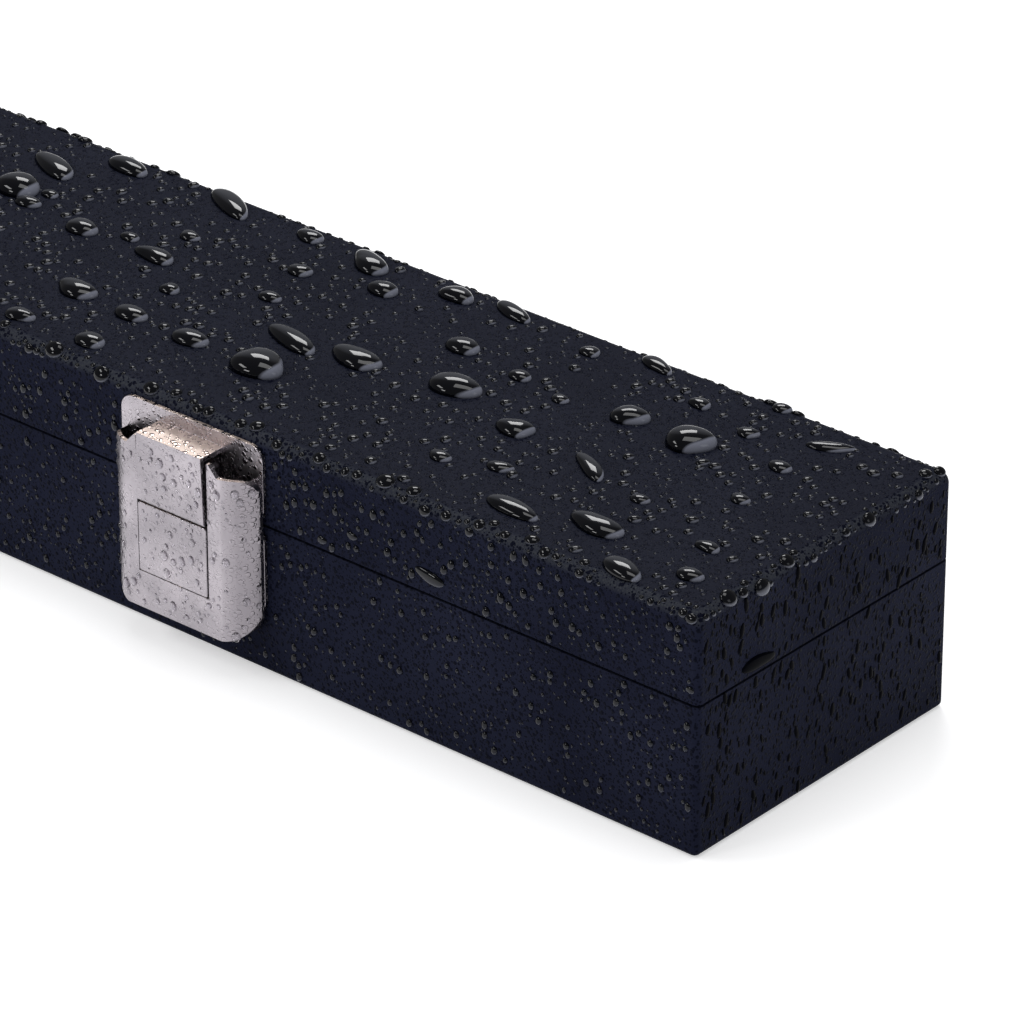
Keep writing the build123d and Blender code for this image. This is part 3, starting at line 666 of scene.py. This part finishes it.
waterSettings = {
    "seed": 20,
    "sink": 0.06 * mm,
    "clear": 0.15 * mm,
    "cell": 8 * mm,
    "aroundMetal": 1.5 * mm,
    "aroundFoot": 8 * mm,
}
rng = random.Random(waterSettings["seed"])


def beadTemplate(segments, rings, bulge):
    # A closed dome of unit radius and height: a sphere cut at its middle, its flank made steeper
    bm = bmesh.new()
    bmesh.ops.create_uvsphere(bm, u_segments=segments, v_segments=rings * 2, radius=1.0)
    bmesh.ops.bisect_plane(
        bm,
        geom=bm.verts[:] + bm.edges[:] + bm.faces[:],
        plane_co=(0, 0, 0),
        plane_no=(0, 0, 1),
        clear_inner=True,
        dist=1e-5,
    )
    bmesh.ops.contextual_create(bm, geom=[edge for edge in bm.edges if edge.is_boundary])
    for vert in bm.verts:
        if vert.co.z > 1e-4:
            vert.co.z = vert.co.z**bulge
    mesh = bpy.data.meshes.new("beadTemplate")
    bm.to_mesh(mesh)
    bm.free()
    return mesh


tinyBead = beadTemplate(7, 2, 0.9)
smallBead = beadTemplate(10, 3, 0.9)
middleBead = beadTemplate(14, 5, 0.85)
largeBead = beadTemplate(36, 12, 0.8)


class WaterSheet:
    # All the water on one body, gathered in one mesh
    def __init__(self, name, body, material, taken=None):
        self.name = name
        self.body = body
        self.material = material
        self.bm = bmesh.new()
        self.taken = {} if taken is None else taken

    def claim(self, point, radius):
        # Whether a place is free; if it is, it is taken from now on
        key = tuple(int(math.floor(c / waterSettings["cell"])) for c in point)
        for dx in (-1, 0, 1):
            for dy in (-1, 0, 1):
                for dz in (-1, 0, 1):
                    for other, size in self.taken.get((key[0] + dx, key[1] + dy, key[2] + dz), ()):
                        if (other - point).length < size + radius + waterSettings["clear"]:
                            return False
        self.taken.setdefault(key, []).append((Vector(point), radius))
        return True

    def bead(self, template, point, axes, sizes, lobes=0.0, droop=0.0):
        # axes: along, across and out of the surface; sizes: half length, half width and height
        start = len(self.bm.verts)
        self.bm.from_mesh(template)
        self.bm.verts.ensure_lookup_table()
        fresh = self.bm.verts[start:]
        phase = rng.uniform(0, math.tau)
        for vert in fresh:
            x, y, z = vert.co
            if lobes:
                angle = math.atan2(y, x)
                waves = math.sin(2 * angle + phase) * 0.5 + math.sin(3 * angle + 2 * phase) * 0.5
                swell = 1 + lobes * waves
                x, y = x * swell, y * swell
            x += droop * z * 0.5
            vert.co = (
                point
                + axes[0] * (x * sizes[0])
                + axes[1] * (y * sizes[1])
                + axes[2] * (z * sizes[2] - waterSettings["sink"])
            )

    def finish(self):
        self.bm.normal_update()
        return finishMesh(self.bm, self.name, self.body, self.material)


surfaceAxes = {
    "top": (Vector((1, 0, 0)), Vector((0, 1, 0)), Vector((0, 0, 1))),
    "front": (Vector((0, 0, -1)), Vector((-1, 0, 0)), Vector((0, -1, 0))),
    "rear": (Vector((0, 0, -1)), Vector((1, 0, 0)), Vector((0, 1, 0))),
    "right": (Vector((0, 0, -1)), Vector((0, 1, 0)), Vector((1, 0, 0))),
    "left": (Vector((0, 0, -1)), Vector((0, -1, 0)), Vector((-1, 0, 0))),
}

lidLow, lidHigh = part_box("lid_leatherette")
baseLow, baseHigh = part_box("base_leatherette")
keepOut = []  # boxes of metalwork that the leatherette's beads stay clear of
for node in frame["nodes"]:
    if any(word in node for word in ("latch", "bracket", "hinge")) and "pin" not in node:
        low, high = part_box(node)
        if high.x - low.x < 60 * mm:  # a node of screws far apart spans more than that
            spare = Vector((1, 1, 1)) * waterSettings["aroundMetal"]
            keepOut.append((low - spare, high + spare))
feetLow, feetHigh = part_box("rear_feet")
outermost = (feetHigh.x - feetLow.x - (feetHigh.z - feetLow.z)) / 2
for share in (-1, -0.5, 0.5, 1):
    spot = Vector((share * outermost, lidHigh.y, (feetLow.z + feetHigh.z) / 2))
    spare = Vector((1, 1, 1)) * waterSettings["aroundFoot"]
    keepOut.append((spot - spare, spot + spare))


def isOpen(point):
    return not any(all(a <= c <= b for a, c, b in zip(low, point, high)) for low, high in keepOut)


def turnedAxes(axes, angle):
    c, s = math.cos(angle), math.sin(angle)
    return (axes[0] * c + axes[1] * s, axes[1] * c - axes[0] * s, axes[2])


# Small beads for each kind of face: how many, their radii, and their height and length as shares of the radius
beadCover = {
    "lidTop": {"count": 4600, "radii": (0.35 * mm, 1.35 * mm), "flat": (0.55, 0.75), "stretch": (1.0, 1.25)},
    "lidSide": {"count": 1700, "radii": (0.3 * mm, 1.05 * mm), "flat": (0.55, 0.8), "stretch": (1.0, 1.4)},
    "baseSide": {"count": 2500, "radii": (0.28 * mm, 0.85 * mm), "flat": (0.55, 0.8), "stretch": (1.0, 1.4)},
    "lidEnd": {"count": 260, "radii": (0.3 * mm, 0.85 * mm), "flat": (0.3, 0.45), "stretch": (1.6, 2.6)},
    "baseEnd": {"count": 480, "radii": (0.28 * mm, 0.8 * mm), "flat": (0.3, 0.45), "stretch": (1.6, 2.6)},
}
placingTries = 4


def scatter(sheet, face, low, high, cover):
    # Small beads over one face between two corners
    axes = surfaceAxes[face]
    least, most = cover["radii"]
    for _ in range(cover["count"]):
        for _ in range(placingTries):
            point = Vector([rng.uniform(a, b) for a, b in zip(low, high)])
            share = rng.random() ** 2.2
            radius = least + (most - least) * share
            if not isOpen(point) or not sheet.claim(point, radius):
                continue
            long = radius * rng.uniform(*cover["stretch"])
            template = tinyBead if radius < 0.6 * mm else smallBead if radius < 1.1 * mm else middleBead
            turn = rng.uniform(-0.35, 0.35) if face != "top" else rng.uniform(0, 3.14)
            droop = 0.0 if face == "top" else 0.5
            sizes = (long, radius, radius * rng.uniform(*cover["flat"]))
            sheet.bead(template, point, turnedAxes(axes, turn), sizes, 0.0, droop)
            break


lidTaken = {}
largeWater = WaterSheet("lidLargeBeads", "lid", largeTopWater, lidTaken)
lidWater = WaterSheet("lidSmallBeads", "lid", topWater, lidTaken)
rimWater = WaterSheet("lidEdgeBeads", "lid", rimWet, lidTaken)
lidSideWater = WaterSheet("lidSideBeads", "lid", sideWater, lidTaken)
baseWater = WaterSheet("baseBeads", "base", sideWater)
lidEndWater = WaterSheet("lidEndBeads", "lid", endWet, lidTaken)
baseEndWater = WaterSheet("baseEndBeads", "base", endWet)

# The large beads on the visible end of the lid, as they lie in the photograph: pixel, half length and half
# width in millimetres, and turn in degrees
topBeads = [
    (258, 367, 5.2, 4.0, 0),
    (356, 360, 5.4, 2.8, -10),
    (455, 388, 5.0, 3.2, 10),
    (515, 430, 3.6, 2.4, 0),
    (630, 418, 3.2, 2.8, 20),
    (690, 443, 4.2, 3.8, 0),
    (292, 341, 6.2, 2.4, -15),
    (370, 265, 4.6, 2.6, -20),
    (383, 291, 2.9, 2.3, 0),
    (155, 257, 4.0, 2.2, 0),
    (82, 229, 3.4, 2.4, 0),
    (77, 291, 4.2, 2.6, 0),
    (131, 315, 3.4, 2.2, 0),
    (190, 340, 3.6, 2.4, 0),
    (90, 342, 3.0, 2.2, 0),
    (230, 205, 6.6, 2.3, -25),
    (128, 168, 4.6, 2.4, -10),
    (463, 348, 3.3, 2.4, 0),
    (457, 297, 3.2, 2.4, 0),
    (513, 313, 4.6, 1.8, -20),
    (590, 468, 4.8, 1.7, -30),
    (512, 509, 5.6, 2.1, -5),
    (597, 527, 5.2, 2.6, 0),
    (622, 570, 4.4, 2.2, -15),
    (310, 238, 2.8, 1.9, 0),
    (300, 272, 2.4, 1.8, 0),
    (170, 290, 2.0, 1.6, 0),
    (190, 237, 2.2, 1.5, 0),
    (270, 298, 2.2, 1.6, 0),
    (440, 457, 2.2, 1.5, 0),
    (500, 468, 2.4, 1.5, 10),
    (657, 366, 3.6, 1.7, -20),
    (830, 448, 4.0, 1.4, 25),
    (700, 405, 2.0, 1.6, 0),
    (748, 434, 2.0, 1.5, 0),
    (590, 353, 2.0, 1.5, 0),
    (520, 377, 2.2, 1.6, 0),
    (780, 468, 2.2, 1.6, 0),
    (28, 203, 2.6, 1.8, 0),
    (20, 316, 2.8, 2.0, 0),
    (690, 576, 2.4, 1.8, 0),
    (708, 548, 2.2, 1.5, 0),
    (790, 405, 1.8, 1.4, 0),
    (560, 400, 1.7, 1.3, 0),
    (640, 500, 1.8, 1.3, 0),
    (740, 500, 1.9, 1.4, 0),
    (130, 238, 1.9, 1.4, 0),
    (50, 195, 1.7, 1.3, 0),
]
beadGrowth = 1.3
beadHeight = 0.66
topPlane = Vector((0, 0, lidHigh.z))
seenEdge = 1e9
for px, py, half, wide, turn in topBeads:
    point = underPixel(px, py, topPlane, Vector((0, 0, 1)))
    seenEdge = min(seenEdge, point.x)
    point.y = max(lidLow.y + wide * mm, min(lidHigh.y - wide * mm - 1 * mm, point.y))
    half, wide = half * beadGrowth * mm, wide * beadGrowth * mm
    largeWater.claim(point, max(half, wide) * 0.8)
    axes = turnedAxes(surfaceAxes["top"], math.radians(turn))
    largeWater.bead(largeBead, point, axes, (half, wide, beadHeight * wide), rng.uniform(0.04, 0.16))

# The rest of the lid has beads of the same sizes in the same numbers for its length
farLow = (lidLow.x + 6 * mm, -34 * mm)
farHigh = (seenEdge - 5 * mm, 34 * mm)
shown = lidHigh.x - seenEdge
farLength = 2 * lidHigh.x - shown
for _ in range(int(len(topBeads) * farLength / shown)):
    point = Vector((rng.uniform(farLow[0], farHigh[0]), rng.uniform(farLow[1], farHigh[1]), lidHigh.z))
    half, wide, turn = rng.choice([row[2:] for row in topBeads])
    half, wide = half * beadGrowth * mm, wide * beadGrowth * mm
    if largeWater.claim(point, half * 0.8):
        axes = turnedAxes(surfaceAxes["top"], math.radians(turn + rng.uniform(-25, 25)))
        largeWater.bead(largeBead, point, axes, (half, wide, beadHeight * wide), rng.uniform(0.04, 0.2))

top = lidHigh.z
# Bare strips along the faces' edges
edgeSpare = {"top": 3.4 * mm, "upright": 2 * mm, "seam": 1.2 * mm, "rim": 1 * mm}
spare = edgeSpare["top"]
scatter(
    lidWater,
    "top",
    (lidLow.x + spare, lidLow.y + spare, top),
    (lidHigh.x - spare, lidHigh.y - spare, top),
    beadCover["lidTop"],
)


rimSettings = {
    "bend": 3.0 * mm,
    "fromSide": 2 * mm,
    "radii": (0.4 * mm, 2.0 * mm),
    "longCount": 900,
    "endCount": 110,
}


def scatterRim(sheet, start, end, side, count):
    # Beads along one of the lid's rounded top edges, leaning outwards with it
    bend = rimSettings["bend"]
    radii = rimSettings["radii"]
    along = (end - start).normalized()
    for _ in range(count):
        lean = rng.uniform(0.1, 1.45)
        out = side * math.sin(lean) + Vector((0, 0, math.cos(lean)))
        point = start.lerp(end, rng.random()) - side * bend - Vector((0, 0, bend)) + out * bend
        radius = radii[0] + (radii[1] - radii[0]) * rng.random() ** 2.4
        if not isOpen(point) or not sheet.claim(point, radius):
            continue
        axes = (along, out.cross(along), out)
        template = smallBead if radius < 1.0 * mm else middleBead
        sheet.bead(template, point, axes, (radius * rng.uniform(1, 1.3), radius, radius * 0.6))


corners = [Vector((x, y, top)) for x, y in ((-1, -1), (1, -1), (1, 1), (-1, 1))]
for corner in corners:
    corner.x *= lidHigh.x - rimSettings["fromSide"]
    corner.y *= lidHigh.y - rimSettings["fromSide"]
for start, side in enumerate(((0, -1, 0), (1, 0, 0), (0, 1, 0), (-1, 0, 0))):
    side = Vector(side)
    count = rimSettings["endCount" if side.x else "longCount"]
    first = corners[start] + side * 2 * mm
    last = corners[(start + 1) % 4] + side * 2 * mm
    scatterRim(rimWater, first, last, side, count)

# The drips that stand out on the front above the seam, as they lie in the photograph: pixel, half length and
# half width in millimetres, and turn in degrees
frontDrips = [
    (430, 577, 3.9, 1.5, 8),
    (352, 536, 1.5, 0.9, 0),
    (322, 540, 1.3, 1.0, 0),
    (690, 690, 1.0, 0.8, 0),
]
for px, py, half, wide, turn in frontDrips:
    point = underPixel(px, py, Vector((0, lidLow.y, 0)), Vector((0, -1, 0)))
    point.z = max(point.z, lidLow.z + (wide + 0.3) * mm)
    axes = turnedAxes(surfaceAxes["front"], math.radians(90 + turn))
    lidSideWater.claim(point, half * 0.8 * mm)
    lidSideWater.bead(largeBead, point, axes, (half * mm, wide * mm, 0.6 * wide * mm), 0.1)

# The long drip that hangs above the seam on the visible end
endDrip = {"pixel": (758, 662), "aboveSeam": 2.2 * mm, "turn": 85, "sizes": (5 * mm, 1.7 * mm, 0.7 * mm)}
point = underPixel(*endDrip["pixel"], Vector((lidHigh.x, 0, 0)), Vector((1, 0, 0)))
point.z = lidLow.z + endDrip["aboveSeam"]
axes = turnedAxes(surfaceAxes["right"], math.radians(endDrip["turn"]))
lidEndWater.claim(point, endDrip["sizes"][0] * 0.8)
lidEndWater.bead(largeBead, point, axes, endDrip["sizes"], 0.15)

spare = edgeSpare["upright"]
lidSpan = (lidLow.z + edgeSpare["seam"], top - edgeSpare["top"])
baseSpan = (edgeSpare["upright"], baseHigh.z - edgeSpare["rim"])
for face, y in (("front", lidLow.y), ("rear", lidHigh.y)):
    for sheet, span, cover in ((lidSideWater, lidSpan, "lidSide"), (baseWater, baseSpan, "baseSide")):
        low = (lidLow.x + spare, y, span[0])
        high = (lidHigh.x - spare, y, span[1])
        scatter(sheet, face, low, high, beadCover[cover])
for face, x in (("left", lidLow.x), ("right", lidHigh.x)):
    for sheet, span, cover in ((lidEndWater, lidSpan, "lidEnd"), (baseEndWater, baseSpan, "baseEnd")):
        low = (x, lidLow.y + spare, span[0])
        high = (x, lidHigh.y - spare, span[1])
        scatter(sheet, face, low, high, beadCover[cover])
for sheet in (largeWater, lidWater, rimWater, lidSideWater, baseWater, lidEndWater, baseEndWater):
    made = sheet.finish()
    print(made.name, len(made.data.polygons))


def wetMetal(name, body, sourceName, low, high, count, radii):
    # Beads on the front of one piece of a latch, each on the spot met by looking straight at it
    source = bpy.data.objects[sourceName]
    tree = BVHTree.FromObject(source, bpy.context.evaluated_depsgraph_get())
    sheet = WaterSheet(name, body, clearWater)
    for _ in range(count):
        start = Vector((rng.uniform(low[0], high[0]), low[1], rng.uniform(low[2], high[2])))
        point, normal, _, _ = tree.ray_cast(start, Vector((0, 1, 0)))
        if point is None or normal.y > -0.35:
            continue
        radius = radii[0] + (radii[1] - radii[0]) * rng.random() ** 2
        if not sheet.claim(point, radius):
            continue
        down = (Vector((0, 0, -1)) - normal * -normal.z).normalized()
        axes = (down, normal.cross(down), normal)
        template = smallBead if radius < 0.9 * mm else middleBead
        sheet.bead(template, point, axes, (radius * rng.uniform(1, 1.35), radius, radius * 0.5), 0.0, 0.3)
    sheet.finish()


for side in ("left", "right"):
    coverLow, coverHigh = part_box(f"latch_{side}_cover")
    middle = (coverLow.x + coverHigh.x) / 2
    for piece, body, z0, z1, half, count in (
        ("Hasp", "lid", 35.2, 49.0, 8.6, 90),
        ("Button", f"{side}_button", 18.2, 33.0, 8.8, 90),
        ("Cover", "base", 9.5, 46.0, 19.8, 260),
    ):
        low = (middle - half * mm, lidLow.y - 30 * mm, z0 * mm)
        high = (middle + half * mm, 0, z1 * mm)
        wetMetal(f"{side}{piece}Beads", body, f"{side}Latch{piece}", low, high, count, (0.3 * mm, 1.05 * mm))
print("water laid")


# Room: pale floor, white beyond, soft lamps

roomSettings = {
    "floorSize": 30.0,
    "floorColour": (0.86, 0.86, 0.87),
    "floorGlow": 0.42,
    "ambient": 0.5,
    "reflected": 0.2,
}


def makeFloor():
    bm = bmesh.new()
    bmesh.ops.create_grid(bm, x_segments=1, y_segments=1, size=roomSettings["floorSize"] / 2)
    mesh = bpy.data.meshes.new("studioFloor")
    bm.to_mesh(mesh)
    bm.free()
    floor = bpy.data.objects.new("studioFloor", mesh)
    floor.location.z = -0.0002
    bpy.context.scene.collection.objects.link(floor)
    material, tree, shader = newMaterial("paleFloor")
    shader.inputs["Base Color"].default_value = (*roomSettings["floorColour"], 1)
    shader.inputs["Roughness"].default_value = 0.9
    shader.inputs["Specular IOR Level"].default_value = 0.0
    path = addNode(tree, "LightPath")
    seen = mathNode(tree, "MAXIMUM", path.outputs["Is Camera Ray"], path.outputs["Is Transmission Ray"])
    seen = mathNode(tree, "MAXIMUM", seen, path.outputs["Is Glossy Ray"])
    shader.inputs["Emission Color"].default_value = (1, 1, 1, 1)
    glow = mathNode(tree, "MULTIPLY", seen, roomSettings["floorGlow"])
    tree.links.new(glow, shader.inputs["Emission Strength"])
    mesh.materials.append(material)


def makeWorld():
    world = bpy.data.worlds.new("studio")
    bpy.context.scene.world = world
    world.use_nodes = True
    tree = world.node_tree
    background = tree.nodes["Background"]
    background.inputs["Color"].default_value = (1, 1, 1, 1)
    path = addNode(tree, "LightPath")
    clear = mathNode(tree, "MAXIMUM", path.outputs["Is Camera Ray"], path.outputs["Is Transmission Ray"])
    glossy = mathNode(tree, "MULTIPLY", path.outputs["Is Glossy Ray"], roomSettings["reflected"])
    ambient = mathNode(tree, "MULTIPLY", path.outputs["Is Diffuse Ray"], roomSettings["ambient"])
    total = mathNode(tree, "MAXIMUM", clear, mathNode(tree, "MAXIMUM", glossy, ambient))
    tree.links.new(total, background.inputs["Strength"])


def makeLamp(name, place, target, size, power, colour=(1, 1, 1)):
    data = bpy.data.lights.new(name, "AREA")
    data.shape = "RECTANGLE"
    data.size, data.size_y = size
    data.energy = power
    data.color = colour
    lamp = bpy.data.objects.new(name, data)
    lamp.location = place
    lamp.rotation_euler = (Vector(target) - Vector(place)).to_track_quat("-Z", "Y").to_euler()
    bpy.context.scene.collection.objects.link(lamp)


makeFloor()
makeWorld()
aim = (0.3, 0.0, 0.03)
makeLamp("overheadSoftbox", (0.2, 0.3, 2.1), aim, (1.2, 0.9), 15)
makeLamp("backWindow", (-0.55, 1.0, 1.1), aim, (0.6, 0.42), 7)
makeLamp("frontFill", (-0.6, -2.2, 1.1), aim, (0.5, 0.4), 8)
makeLamp("edgeStrip", (-0.62, -0.76, 1.1), aim, (0.6, 0.25), 4.5)
makeLamp("sideSoftbox", (2.1, 0.1, 1.0), aim, (0.8, 0.8), 3, (0.93, 0.95, 1.0))
bpy.context.scene.view_settings.view_transform = "Standard"
print("room lit")
